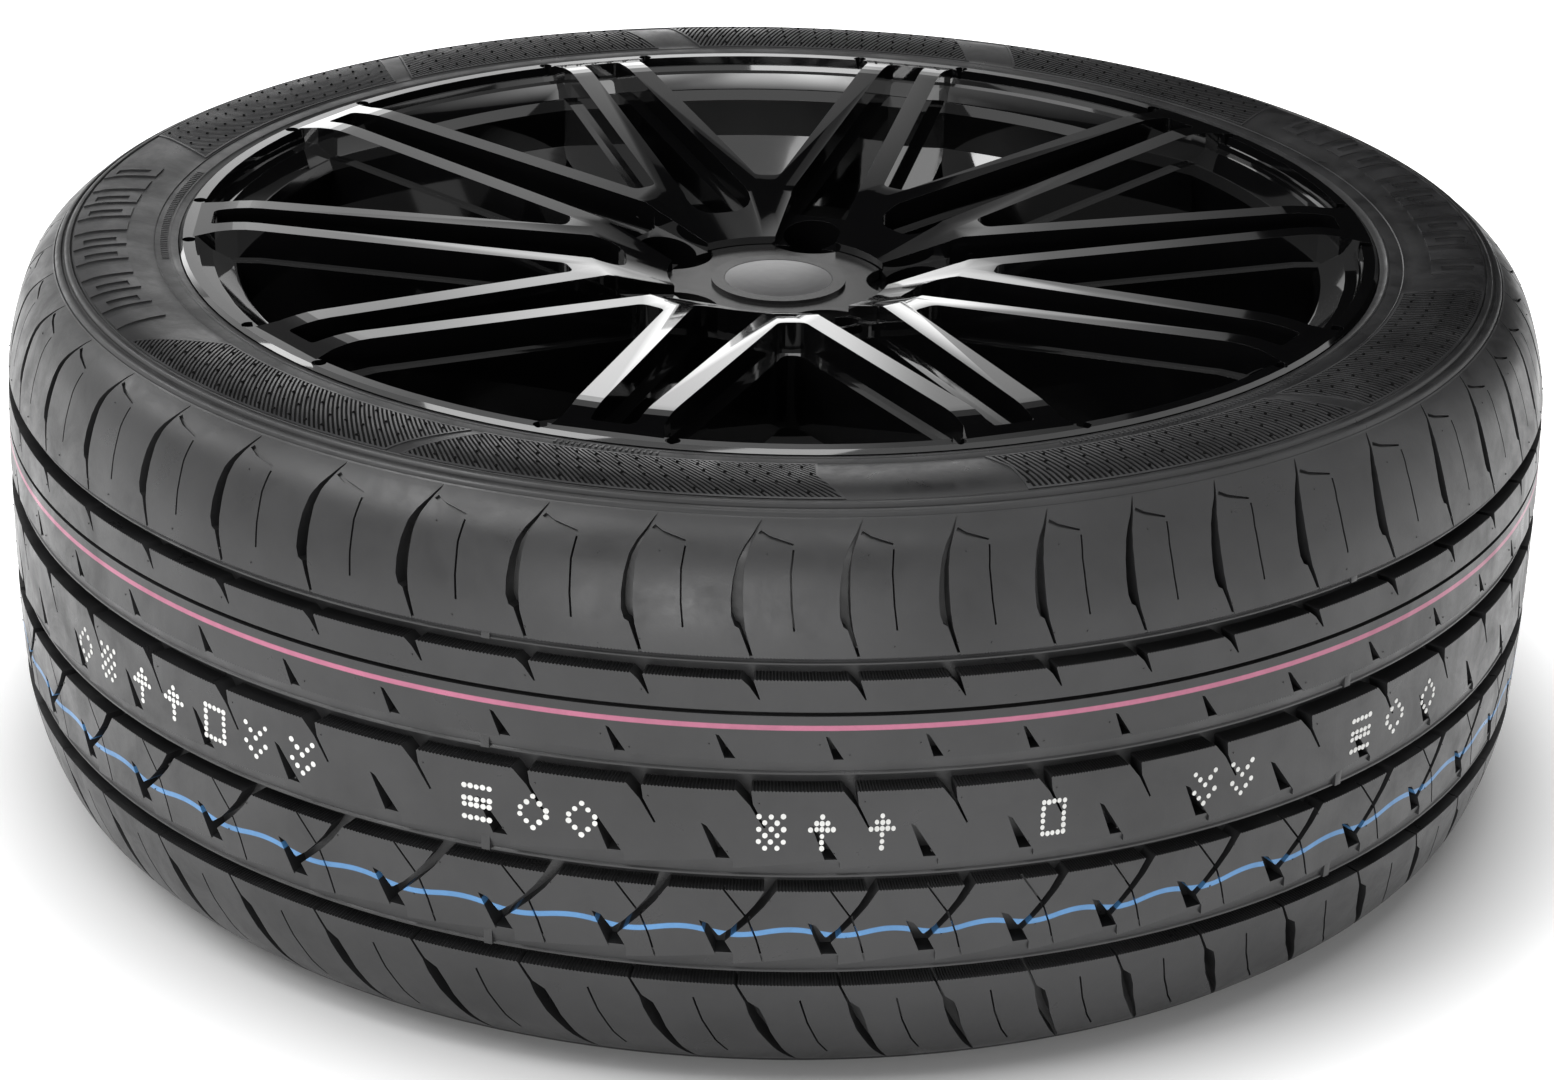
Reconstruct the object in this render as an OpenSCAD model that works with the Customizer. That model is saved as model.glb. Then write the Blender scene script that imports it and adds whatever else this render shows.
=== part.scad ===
// Passenger car tyre on a ten-pair alloy wheel, lying on its inner sidewall.
// Millimetres. The wheel's axis is Z, the styled face looks up, and Z = 0 is the ground.

/* [Tyre] */
// Outside diameter over the tread
tyre_d = 637; // [627:1:649]
// Width over the two sidewalls
section_w = 227; // [224:0.5:234]
// Width of the tread between the shoulder corners
tread_w = 196; // [192:1:200]
// How much smaller the radius is at the shoulder corners than in the middle
crown_drop = 5; // [3:0.5:8]
// Depth of the main grooves
groove_depth = 8; // [5:0.5:9]
// Rubber and belts between the groove floors and the air chamber
undertread = 9; // [7:0.5:12]
// Thickness of the sidewall where it is widest
sidewall_t = 8; // [6:0.5:10]
// How far the widest circle of the sidewall lies outside the rim flange
belly_rise = 33; // [28:1:36]
// How far the corner of the tread lies outside the widest circle
shoulder_rise = 27; // [24:0.5:30]
// Height of the two raised rings at the top of the sidewall
ring_h = 0.8; // [0.4:0.1:1.5]
// Width of the bead's foot on its seat
bead_w = 20; // [17:0.5:22]

/* [Tread pattern] */
// Upper edges of the four main grooves, from the middle of the tread
groove_top = [64.3, 25.6, -15.1, -54.3]; // [-70:0.1:70]
// Width of each main groove at the surface
groove_w = [8.6, 12.1, 11, 11]; // [7:0.1:13]
// Width of the bevel along each groove's upper edge
bevel_w = [3.2, 6.1, 6.1, 6.1]; // [2:0.1:7]
// Depth of those bevels
bevel_d = 2.5; // [1:0.1:4]
// Draft of the groove walls in degrees
wall_draft = 4; // [0:1:8]
// Middle of the narrow ring groove, from the middle of the tread
fine_groove_at = 43.4; // [42:0.1:45]
// Width of the narrow ring groove
fine_groove_w = 1.6; // [1:0.1:2.5]
// Depth of the narrow ring groove
fine_groove_d = 3; // [1.5:0.1:5]
// Length of a medium pitch against a short one
pitch_medium = 1.1; // [1.05:0.01:1.12]
// Length of a long pitch against a short one
pitch_long = 1.22; // [1.15:0.01:1.26]
// Where the first pitch of the sequence starts
pitch_start = 220.7; // [0:0.1:360]
// Depth of the notches and of the slanted grooves in the ribs
notch_depth = 5; // [3:0.5:7]
// Inward slope of the shoulder grooves' floors in degrees
shoulder_slope = 12; // [8:1:16]

/* [Rim] */
// Diameter of the bead seats
rim_d = 457.2; // [452:0.2:462]
// Width between the flanges, where the beads bear
rim_w = 203.2; // [199:0.2:207]
// Height of the flanges over the bead seats
flange_h = 17.5; // [16:0.1:18.5]
// Width of the flange from the bead's face to the lip
flange_t = 9.9; // [8.5:0.1:11]
// Radius of the flange's curled-over edge
flange_curl = 8; // [7:0.5:8.5]
// Radius of the corner between flange and seat
heel_r = 5; // [4:0.5:6]
// Taper of the bead seats in degrees
seat_taper = 5; // [4:0.5:6]
// Width of the lip's flat face
lip_w = 6.3; // [5:0.1:7]
// Depth of the step behind the lip
step_depth = 6.3; // [5:0.1:7]
// Width of the shelf at the bottom of that step
shelf_w = 4.9; // [4:0.1:6]
// Thickness of the barrel
barrel_t = 5.5; // [4.5:0.25:6]
// Depth of the mounting well below the bead seats
well_depth = 23; // [20:0.5:25]
// Front corner of the well, from the middle of the rim
well_front = 48; // [44:0.5:52]
// Back corner of the well, from the middle of the rim
well_back = 8; // [0:0.5:14]
// Space left between bead and rim
bead_gap = 0.1; // [0.05:0.05:0.3]

/* [Spokes] */
// Pairs of arms round the wheel
pairs = 10; // [10:1:10]
// Direction of the first pair that holds a bolt pocket
first_pair = 75.6; // [0:0.1:360]
// Width of an arm's face
arm_w = 9.5; // [8:0.25:11]
// Distance from a pair's middle to its arms at the inner end
arm_y_in = 18.9; // [17.5:0.1:20]
// The same distance at the fold near the rim
arm_y_out = 13.6; // [12.5:0.1:15]
// Radius of the inner end of the V faces
v_face_r = 79.3; // [76:0.1:82]
// Radius of the notch between the two arms of a V
v_notch_r = 91.6; // [89:0.1:98]
// Distance from the flange's edge in to the fold where the faces turn down to the rim
fold_in = 24.1; // [20:0.1:32]
// Height of the faces over the rim's lip at the fold
fold_h = 2.5; // [1:0.1:3]
// Depth of the faces under the lip at the inner end of the V
v_face_depth = 11; // [9:0.1:13]
// Depth of the ledge along the arms' flanks, under the face
ledge_depth = 13; // [10:0.5:16]
// Width of that ledge
ledge_w = 3.2; // [2:0.1:4]
// Depth of the spokes' backs under the lip, at the rim
back_depth_out = 38; // [34:0.5:42]
// Depth of the spokes' backs under the lip, at the hub
back_depth_in = 54; // [50:0.5:58]

/* [Hub] */
// Distance from the lip down to the pad that meets the car's hub
pad_depth = 66.5; // [62:0.5:71]
// Radius of the pad
pad_r = 72; // [70:0.5:76]
// Diameter of the centre bore
bore_d = 57.1; // [54:0.1:60]
// Diameter of the circle through the bolt holes
bolt_circle = 112; // [108:0.5:116]
// Diameter of the bolt holes
bolt_hole_d = 15; // [13:0.1:16]
// Diameter of the pockets round the bolt heads
pocket_d = 24.5; // [23:0.1:26]
// Depth of the bolt seats under the lip
seat_depth = 48; // [45:0.5:52]
// Radius of the recess that holds the cap
recess_r = 46.5; // [45.5:0.1:47.5]
// Depth of the recess floor under the lip
recess_depth = 30.5; // [29.5:0.1:33]
// Depth of the trunks' inner edge under the lip
trunk_depth = 22.5; // [21:0.1:24]
// Radius at which the slots between two trunks end
slot_end_r = 63.5; // [61:0.5:66]
// Radius at which the slots over a bolt pocket end
lug_slot_r = 71; // [70:0.5:74]
// Half the width of the channel round a bolt pocket
channel_y = 13.2; // [12.6:0.1:13.6]
// Depth of the channel's floor under the lip, at the pocket's middle
channel_depth = 24.4; // [23.5:0.1:25.5]
// Slope of the channel's floor in degrees
channel_slope = 12.3; // [9:0.1:15]

/* [Cap] */
// Radius of the cap's five lobes
lobe_r = 45.8; // [44:0.1:46]
// Half the width of a lobe
lobe_y = 13.8; // [12:0.1:14.5]
// Thickness of the lobes
lobe_t = 4.4; // [3.5:0.1:5]
// Radius of the raised ring round the inlay
ring_r = 28; // [26.5:0.1:29]
// Radius of the inlay disc
inlay_r = 22.4; // [21:0.1:24]
// Length of the clip tongues behind the cap
clip_len = 14; // [11:0.5:16]
// Wall of the clip tongues
clip_t = 1.8; // [1.4:0.1:2.2]
// Space left between cap parts that slide together
cap_gap = 0.15; // [0.05:0.05:0.25]

/* [Valve] */
// Direction of the valve hole
valve_az = 273.6; // [0:0.1:360]
// Diameter of the valve hole
valve_hole_d = 11.5; // [11.3:0.1:11.8]
// Length of the valve from the rim's inner face to its tip
valve_len = 33; // [30:0.5:38]

/* [Hidden] */
$fn = 96;
eps = 0.01;

mid_z = section_w / 2;
half_rim = rim_w / 2;
lip_z = mid_z + half_rim + flange_t;
seat_r = rim_d / 2;
flange_r = seat_r + flange_h;
tyre_r = tyre_d / 2;
inner_r = tyre_r - groove_depth - undertread;

// Turns a point of the plane by an angle
function turned(p, a) = [p[0] * cos(a) - p[1] * sin(a), p[0] * sin(a) + p[1] * cos(a)];
// Points of an arc, in steps of equal angle
function arc(c, r, a0, a1, n) =
    [for (i = [0:n]) c + r * [cos(a0 + (a1 - a0) * i / n), sin(a0 + (a1 - a0) * i / n)]];
function unit(v) = v / norm(v);
// Rounds the corner b between a and c
function fillet(a, b, c, r, n = 4) =
    let (u = unit(a - b), v = unit(c - b), w = unit(u + v),
         s = norm(cross([w[0], w[1], 0], [u[0], u[1], 0])),
         m = b + w * r / s,
         p = b + u * (r / s) * (u * w) - m, q = b + v * (r / s) * (v * w) - m,
         a0 = atan2(p[1], p[0]), d = atan2(q[1], q[0]) - a0,
         turn = d > 180 ? d - 360 : d < -180 ? d + 360 : d)
    arc(m, r, a0, a0 + turn, n);
// The mirror image, below the middle of the section, of a profile given above it
function below(pts) = [for (p = pts) [p[0], -p[1]]];
// The same points in the other order
function reversed(pts) = [for (i = [len(pts) - 1:-1:0]) pts[i]];

// Radius of the tread surface at a height over the middle
function crown_r(z) = tyre_r - crown_drop * pow(abs(z) / (tread_w / 2), 2.5);

// The face of the rim that meets the tyre, from the flange's top round to the seat,
// g being the space left outside it
function flange_face(g) = concat(
    [[flange_r + g, half_rim + flange_curl]],
    [for (a = [15:15:90]) [flange_r - flange_curl + (flange_curl + g) * cos(a),
                           half_rim + flange_curl - (flange_curl + g) * sin(a)]],
    [for (a = [90:22.5:180]) [seat_r + heel_r + (heel_r - g) * cos(a),
                              half_rim - heel_r + (heel_r - g) * sin(a)]]);

function seat_at(z) = seat_r - (half_rim - heel_r - z) * tan(seat_taper);

// Tyre
belly_r = flange_r + belly_rise;
corner = [belly_r + shoulder_rise, 0];
half_w = section_w / 2;
corner_z = tread_w / 2 + 8;
upper_arc_r = (pow(shoulder_rise, 2) + pow(half_w - corner_z, 2)) / (2 * (half_w - corner_z));
lower_drop = half_w - (half_rim + flange_curl + 0.6);
lower_arc_r = (pow(belly_rise - 2.5, 2) + pow(lower_drop, 2)) / (2 * lower_drop);

function side_z(r) = r > belly_r
    ? half_w - upper_arc_r + sqrt(pow(upper_arc_r, 2) - pow(r - belly_r, 2))
    : half_w - lower_arc_r + sqrt(pow(lower_arc_r, 2) - pow(r - belly_r, 2));

function groove_points(i) =
    let (t = groove_top[i], b = t - groove_w[i], k = groove_depth * tan(wall_draft))
    [[crown_r(t), t], [crown_r(t) - bevel_d, t - bevel_w[i]],
     [crown_r(t) - groove_depth, t - bevel_w[i] - k], [crown_r(b) - groove_depth, b + k],
     [crown_r(b), b]];

fine_groove = [[crown_r(fine_groove_at), fine_groove_at + fine_groove_w / 2],
               [crown_r(fine_groove_at) - fine_groove_d, fine_groove_at + fine_groove_w / 4],
               [crown_r(fine_groove_at) - fine_groove_d, fine_groove_at - fine_groove_w / 4],
               [crown_r(fine_groove_at), fine_groove_at - fine_groove_w / 2]];

// Outer surface of one sidewall from the tread's corner to the rim flange, as [radius, height]
side_outside = concat(
    [[crown_r(tread_w / 2), tread_w / 2],
     [(crown_r(tread_w / 2) * 2 + corner[0]) / 3 + 1.6, tread_w / 2 + 4.4]],
    [for (k = [0, 0.16]) let (r = corner[0] - shoulder_rise * k) [r, side_z(r)]],
    [for (k = [0.32, 0.48]) each let (r = corner[0] - shoulder_rise * k)
        [[r + 1, side_z(r + 1)], [r + 0.6, side_z(r + 0.6) + ring_h],
         [r - 0.6, side_z(r - 0.6) + ring_h], [r - 1, side_z(r - 1)]]],
    [for (k = [0.62, 0.8, 1]) let (r = corner[0] - shoulder_rise * k) [r, side_z(r)]],
    [for (k = [0.25, 0.5, 0.75, 1]) let (r = belly_r - (belly_rise - 2.5) * k) [r, side_z(r)]],
    flange_face(bead_gap),
    [[seat_at(half_rim - bead_w) + bead_gap, half_rim - bead_w]]);

side_inside = [
    [seat_r + 1, half_rim - bead_w - 1.5],
    [seat_r + 9, half_rim - 14],
    [flange_r + 6, half_w - 17],
    [belly_r - 12, half_w - sidewall_t - 2],
    [belly_r, half_w - sidewall_t],
    [belly_r + shoulder_rise * 0.5, half_w - sidewall_t - 3.6],
    [inner_r - 8, tread_w / 2 - 4],
    [inner_r - 1.5, tread_w / 2 - 22],
    [inner_r, tread_w / 4]];

// The order of short (1), medium (2) and long (3) pitches round the tyre
pitch_order = [3, 3, 3, 3, 3, 2, 2, 1, 1, 1, 1, 2, 3, 3, 2, 2, 1, 1, 2, 1, 1, 2, 3, 3, 2, 3,
               2, 1, 1, 1, 2, 2, 3, 2, 1, 1, 2, 1, 1, 1, 2, 3, 3, 2, 2, 1, 1, 1, 2, 3, 3, 3];
function pitch_size(k) = k == 1 ? 1 : k == 2 ? pitch_medium : pitch_long;
pitch_total = [for (k = pitch_order) pitch_size(k)] * [for (k = pitch_order) 1];
function pitch_sum(n) = n == 0 ? 0 : pitch_sum(n - 1) + pitch_size(pitch_order[n - 1]);
// Length of a long pitch on the drawing of the pattern
drawn_pitch = 43.2;

// Cuts an outline of the pattern, drawn as [along the tread, height over its middle],
// into the tread at the pitch that starts at the angle a; s is its size against a long pitch
module tread_cut(pts, a, s, depth, slope = 0, pivot = 0) {
    rotate([0, 0, a]) translate([tyre_r - depth, 0, mid_z + pivot]) rotate([0, slope, 0])
        rotate([90, 0, 90]) linear_extrude(depth * 3)
            polygon([for (p = pts) [p[0] * s, p[1] - pivot]]);
}

outer_groove = [[16.6, 112], [13.8, 95], [14.2, 80], [16.4, 73.6], [20.4, 60],
                [19, 60], [15, 73.6], [11, 76.4], [9.4, 86], [11, 101], [14.2, 112]];
rib2_top_notch = [[15.5, 58], [19.3, 58], [19.3, 54.6], [21.8, 48.7], [15.5, 54.6]];
rib2_low_notch = [[5, 35.1], [6.4, 34.6], [12.8, 26.4], [12.8, 23], [8.6, 23]];
rib3_top_notch = [[14, 17], [20, 17], [20.2, 8.4], [25.4, -0.6], [24.6, -0.8], [19, 8], [14, 12.6]];
rib3_low_notch = [[0, 0.5], [2.2, -0.6], [12.8, -14], [12.8, -18], [7.4, -18]];
rib4_notch = [[-0.2, -38.7], [3.8, -40], [8, -45], [17, -37.6], [28.4, -22], [33.4, -22],
              [20, -38.4], [9.4, -47.2], [13.8, -53], [13.8, -57.5], [9, -57.5]];
inner_groove = [[15, -61], [16.6, -61], [20.2, -71.4], [27.6, -80], [30.4, -92],
                [41, -112], [36, -112], [25, -90], [17.4, -72.4]];

module tread_pitch(a, s) {
    tread_cut(outer_groove, a, s, groove_depth, -shoulder_slope, tread_w / 2 - 34);
    tread_cut(rib2_top_notch, a, s, notch_depth);
    tread_cut(rib2_low_notch, a, s, notch_depth);
    tread_cut(rib3_top_notch, a, s, notch_depth);
    tread_cut(rib3_low_notch, a, s, notch_depth);
    tread_cut(rib4_notch, a, s, notch_depth);
    tread_cut(inner_groove, a, s, groove_depth, shoulder_slope, 34 - tread_w / 2);
}

module tyre() {
    color([0.17, 0.17, 0.18]) difference() {
        translate([0, 0, mid_z]) rotate_extrude($fn = 180) polygon(concat(
            groove_points(0), fine_groove, groove_points(1), groove_points(2), groove_points(3),
            below(side_outside), below(side_inside), reversed(side_inside), reversed(side_outside)));
        for (n = [0:len(pitch_order) - 1])
            tread_pitch(pitch_start + 360 * pitch_sum(n) / pitch_total,
                        pitch_size(pitch_order[n]) / pitch_total * 2 * PI * tyre_r / drawn_pitch);
    }
}

// Rim
rim_face = half_rim + flange_t;
shoulder = [seat_at(half_rim - bead_w) - 1, half_rim - bead_w - 9];
well = [seat_r - well_depth, well_front];
wall_dir = unit(shoulder - well);
wall_in = [-wall_dir[1], wall_dir[0]];

// Outside of one half of the rim, from the lip to the shoulder of the well
rim_outside = concat(
    [[flange_r - 1.5, rim_face], [flange_r, rim_face - 1.5]],
    flange_face(0),
    [[seat_at(half_rim - bead_w), half_rim - bead_w],
     [seat_at(half_rim - bead_w) + 1.2, half_rim - bead_w - 3],
     [seat_at(half_rim - bead_w) + 1.2, half_rim - bead_w - 5], shoulder]);
step_r = flange_r - lip_w;
shelf_r = step_r - 2;
// Styled side of the front lip, from the lip's flat down to the wall of the well
lip_inside = [
    [step_r, rim_face], [step_r - 0.5, rim_face - 4], [step_r - 1.5, rim_face - 4],
    [shelf_r, rim_face - step_depth], [shelf_r - shelf_w, rim_face - step_depth],
    [seat_r - barrel_t + 1.4, half_rim - 1.3], [seat_r - barrel_t + 0.4, half_rim - 1.5],
    [seat_r - barrel_t - 1.6, half_rim - 6],
    shoulder + wall_in * barrel_t + wall_dir * 2];

module rim() {
    translate([0, 0, mid_z]) rotate_extrude() polygon(concat(
        rim_outside, [well, [well[0], well_back], [seat_r - 8, well_back - 33]],
        reversed(below(rim_outside)),
        [[flange_r - lip_w - 1, -rim_face], [seat_r + 3, -half_rim - 3],
         [seat_r - barrel_t, 4 - half_rim], [seat_r - barrel_t - 4.5, 32 - half_rim],
         [seat_r - barrel_t - 8, well_back - 33], [well[0] - barrel_t, well_back - 3],
         well + wall_in * barrel_t - wall_dir * 1.6 - [1, 0]],
        reversed(lip_inside)));
}

// Spokes. A pair's own axis is X; the arms lie on both sides of it
pair_step = 360 / pairs;
fold_r = flange_r - fold_in;
function arm_y(x) = arm_y_in + (x - v_face_r) * (arm_y_out - arm_y_in) / (fold_r - v_face_r);
fold_arc = fillet([v_face_r, -v_face_depth], [fold_r, fold_h], [flange_r - 4.6, -0.1], 70, 3);
face = concat([[recess_r - 4, -trunk_depth - 1.4], [v_face_r, -v_face_depth]],
              fold_arc, [[flange_r - 4.6, -0.1]]);

// Opening between the two arms of a pair; e narrows it
module pair_slot(end_r, corner_r, e) {
    y0 = arm_y(end_r) - arm_w / 2 - e;
    y1 = arm_y(fold_r + 11) - arm_w / 2 - e;
    x0 = end_r + e;
    x1 = fold_r + 11.5 - e;
    polygon(concat(
        fillet([x0, 0], [x0, y0], [x1, y1], corner_r), fillet([x0, y0], [x1, y1], [x1, 0], 2, 3),
        fillet([x1, 0], [x1, -y1], [x0, -y0], 2, 3), fillet([x1, -y1], [x0, -y0], [x0, 0], corner_r)));
}
// Opening between the two arms of a V, on the V's own axis; e narrows it
module v_window(e) {
    side = [for (p = [[v_face_r, 0], [fold_r, 0], [fold_r + 9, 0.6], [flange_r - 5, 3.9], [flange_r + 12, 3.9]])
        turned([p[0], arm_y(p[0]) + arm_w / 2 + e + p[1]], -pair_step / 2)];
    x0 = v_notch_r + e;
    y0 = side[0][1] + (side[1][1] - side[0][1]) * (x0 - side[0][0]) / (side[1][0] - side[0][0]);
    half = concat(fillet([x0, 0], [x0, y0], side[1], 4), [for (i = [1:4]) side[i]]);
    polygon(concat(half, reversed(below(half))));
}
module openings(e) {
    for (n = [0:pairs - 1]) rotate([0, 0, first_pair + n * pair_step]) translate([0, 0, -90]) {
        linear_extrude(120) pair_slot(n % 2 == 0 ? lug_slot_r : slot_end_r, n % 2 == 0 ? 3 : 10, e);
        rotate([0, 0, pair_step / 2]) linear_extrude(120) v_window(e);
    }
}
module arms() {
    difference() {
        rotate_extrude() polygon(concat(face,
            [[flange_r - 4.6, -ledge_depth - 4], [seat_r - barrel_t - 20, -ledge_depth - 8],
             [v_face_r, -v_face_depth - ledge_depth - 5], [recess_r - 4, -trunk_depth - ledge_depth]]));
        openings(0);
    }
    difference() {
        rotate_extrude() polygon(concat(
            [for (p = face) if (p[0] < fold_r - 12) p - [0, ledge_depth]],
            [[fold_r - 8, fold_h - 0.6 - ledge_depth], [seat_r - 3.1, fold_h - 0.6 - ledge_depth],
             [seat_r - 3.1, -back_depth_out], [pad_r + 14, -back_depth_in], [recess_r - 4, -back_depth_in - 6]]));
        openings(ledge_w);
    }
}
module lugs() {
    for (n = [0:2:pairs - 1]) rotate([0, 0, first_pair + n * pair_step]) children();
}
// Height of a channel's floor under the lip, at a radius
function channel_floor(r) = -channel_depth + (r - bolt_circle / 2) * tan(channel_slope);
module channel() {
    intersection() {
        translate([0, 0, -60]) linear_extrude(90) polygon([[36, -channel_y], [v_face_r + 3, -arm_y_in + arm_w / 2],
            [v_face_r + 3, arm_y_in - arm_w / 2], [36, channel_y]]);
        rotate_extrude() polygon([[30, channel_floor(30)], [90, channel_floor(90)], [90, 20], [30, 20]]);
    }
}
module bolt_pocket() {
    translate([bolt_circle / 2, 0, 0]) {
        translate([0, 0, -seat_depth]) cylinder(d = pocket_d, h = seat_depth);
        translate([0, 0, -seat_depth - 5]) cylinder(d1 = bolt_hole_d, d2 = bolt_hole_d + 6, h = 5 + eps);
        translate([0, 0, -pad_depth - 5]) cylinder(d = bolt_hole_d, h = pad_depth);
    }
}
module hub() {
    rotate_extrude() polygon([[10, -pad_depth], [pad_r, -pad_depth], [pad_r, -back_depth_in - 1],
        [slot_end_r + 1, 1 - seat_depth], [recess_r + 2, -recess_depth], [10, -recess_depth]]);
}
bore_r = bore_d / 2;
clip_z = -recess_depth - clip_len + 2;

module wheel() {
    color([0.03, 0.03, 0.035]) difference() {
        union() {
            rim();
            translate([0, 0, lip_z]) { arms(); hub(); }
        }
        translate([0, 0, lip_z]) {
            translate([0, 0, -recess_depth]) cylinder(r = recess_r, h = 40);
            translate([0, 0, -pad_depth - 5]) cylinder(r = bore_r, h = pad_depth);
            translate([0, 0, -pad_depth - eps]) cylinder(r1 = bore_r + 1.5, r2 = bore_r, h = 1.5);
            translate([0, 0, clip_z - 2.5]) cylinder(r = bore_r + 1, h = 4);
            lugs() { channel(); bolt_pocket(); }
            for (n = [1:2:pairs - 1]) rotate([0, 0, first_pair + n * pair_step])
                translate([bolt_circle / 2, 0, -pad_depth - eps]) cylinder(d = pocket_d - 2, h = 9);
            for (n = [0:pairs - 1], m = [0, 1]) rotate([0, 0, first_pair + n * pair_step]) mirror([0, m, 0])
                translate([step_r + 1, arm_y(flange_r) + arm_w / 2 + 7.2, -5]) cylinder(d = 5.6, h = 12, $fn = 32);
        }
        at_valve() translate([0, 0, -barrel_t * 2]) cylinder(d = valve_hole_d, h = barrel_t * 4);
    }
}

// Cap
module cap_body() {
    color([0.04, 0.04, 0.045]) translate([0, 0, lip_z - recess_depth + cap_gap]) {
        difference() {
            union() {
                difference() {
                    cylinder(r = lobe_r, h = lobe_t);
                    lugs() translate([bolt_circle / 2, 0, -1]) cylinder(r = scallop_r, h = lobe_t + 2);
                }
                cylinder(r = ring_r, h = lobe_t + 1.5);
            }
            translate([0, 0, lobe_t + 0.5]) cylinder(r = inlay_r + cap_gap, h = 3);
        }
        difference() {
            rotate_extrude() polygon([[clip_r - clip_t, 1], [clip_r, 1], [clip_r, 4 - clip_len],
                [clip_r + 0.7, 2.6 - clip_len], [clip_r + 0.7, 1.4 - clip_len], [clip_r - 0.4, -clip_len],
                [clip_r - clip_t, -clip_len], [clip_r - clip_t, 1.2 - clip_len], [clip_r - clip_t + 0.5, 2 - clip_len],
                [clip_r - clip_t, 2.8 - clip_len]]);
            for (n = [0:3]) rotate([0, 0, 22.5 + 45 * n])
                translate([-clip_r - 2, -1.5, -clip_len - 1]) cube([2 * clip_r + 4, 3, clip_len]);
        }
    }
}
lobe_angle = asin(lobe_y / lobe_r);
lug_angle = 36 - lobe_angle;
scallop_r = sqrt(pow(lobe_r, 2) + pow(bolt_circle / 2, 2) - lobe_r * bolt_circle * cos(lug_angle));
clip_r = bore_r - cap_gap;

module cap_inlay() {
    color([0.2, 0.2, 0.21]) translate([0, 0, lip_z - recess_depth + cap_gap + lobe_t + 0.5]) rotate_extrude()
        polygon(concat([[0, 0], [inlay_r, 0]],
                       [for (k = [1, 0.8, 0.6, 0.4, 0.2, 0]) [inlay_r * k, 1.6 - 0.7 * k * k]]));
}
wire_d = 1.8;
module cap_ring() {
    color([0.7, 0.7, 0.72]) translate([0, 0, lip_z - recess_depth + cap_gap + 2 - clip_len])
        rotate_extrude() translate([clip_r - clip_t - wire_d / 2 + 0.4, 0]) circle(d = wire_d, $fn = 24);
}

// Valve. Its own axis is Z, pointing out of the tyre, and Z = 0 is the inner face of the rim's wall
module at_valve() {
    p = (shoulder + well) / 2 + wall_in * barrel_t;
    rotate([0, 0, valve_az]) translate([p[0], 0, p[1] + mid_z])
        rotate([0, -atan2(wall_dir[1], wall_dir[0]), 0]) children();
}
stem_r = valve_hole_d / 2;
module valve_stem() {
    color([0.06, 0.06, 0.06]) at_valve() rotate_extrude() polygon([
        [2.75, -barrel_t - 4], [8.5, -barrel_t - 4], [9.4, -barrel_t - 3], [9.4, -barrel_t - 0.1],
        [stem_r - 0.1, -barrel_t - 0.1], [stem_r - 0.1, 0.1], [7.6, 0.1], [7.8, 2.5], [7, 7], [6, 9],
        [5.2, valve_len - 12], [4.6, valve_len - 11], [2.75, valve_len - 11]]);
}
module valve_tube() {
    color([0.75, 0.6, 0.3]) at_valve() rotate_extrude() polygon([
        [1.9, -barrel_t - 3], [2.65, -barrel_t - 3], [2.65, valve_len - 10.9], [3.85, valve_len - 10.9],
        [3.85, valve_len - 0.6], [3.3, valve_len], [1.9, valve_len]]);
}
module valve_core() {
    color([0.8, 0.7, 0.4]) at_valve() {
        translate([0, 0, valve_len - 22]) cylinder(r = 1.8, h = 19);
        translate([0, 0, valve_len - 3 - eps]) cylinder(r = 0.7, h = 2.6);
        translate([0, 0, valve_len - 25]) cylinder(r1 = 1.2, r2 = 1.6, h = 3 + eps);
    }
}
module valve_cap() {
    color([0.05, 0.05, 0.05]) at_valve() difference() {
        union() {
            translate([0, 0, valve_len - 9]) cylinder(r = 4.9, h = 9);
            translate([0, 0, valve_len - eps]) cylinder(r1 = 4.9, r2 = 3.9, h = 2);
        }
        translate([0, 0, valve_len - 10]) cylinder(r = 3.95, h = 10.4);
        for (n = [0:11]) rotate([0, 0, 30 * n]) translate([5.3, 0, valve_len - 8]) cylinder(r = 0.8, h = 12, $fn = 24);
    }
}

tyre();
wheel();
cap_body();
cap_inlay();
cap_ring();
valve_stem();
valve_tube();
valve_core();
valve_cap();
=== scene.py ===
import math
import random
import bpy
import numpy as np
from mathutils import Matrix, Vector


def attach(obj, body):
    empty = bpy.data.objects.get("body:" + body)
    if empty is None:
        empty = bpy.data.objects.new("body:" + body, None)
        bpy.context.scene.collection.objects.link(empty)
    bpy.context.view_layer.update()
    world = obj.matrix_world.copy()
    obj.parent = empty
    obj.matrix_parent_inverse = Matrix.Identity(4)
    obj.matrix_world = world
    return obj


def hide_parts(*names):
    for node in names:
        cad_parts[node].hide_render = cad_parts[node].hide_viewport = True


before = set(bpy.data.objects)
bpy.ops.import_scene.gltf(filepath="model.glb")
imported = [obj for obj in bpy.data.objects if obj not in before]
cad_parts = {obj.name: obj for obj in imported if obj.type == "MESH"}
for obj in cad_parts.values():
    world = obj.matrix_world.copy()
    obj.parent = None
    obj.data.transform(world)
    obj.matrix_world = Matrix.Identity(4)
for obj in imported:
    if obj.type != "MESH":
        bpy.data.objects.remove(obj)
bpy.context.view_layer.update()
print("frame loaded")

mm = 0.001


# working with bpy.ops
def deselectAll():
    if bpy.context.object and bpy.context.object.mode != 'OBJECT':
        bpy.ops.object.mode_set(mode='OBJECT')
    bpy.ops.object.select_all(action='DESELECT')


def pick(*objects):
    deselectAll()
    for ob in objects:
        ob.select_set(True)
    bpy.context.view_layer.objects.active = objects[0]


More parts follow.
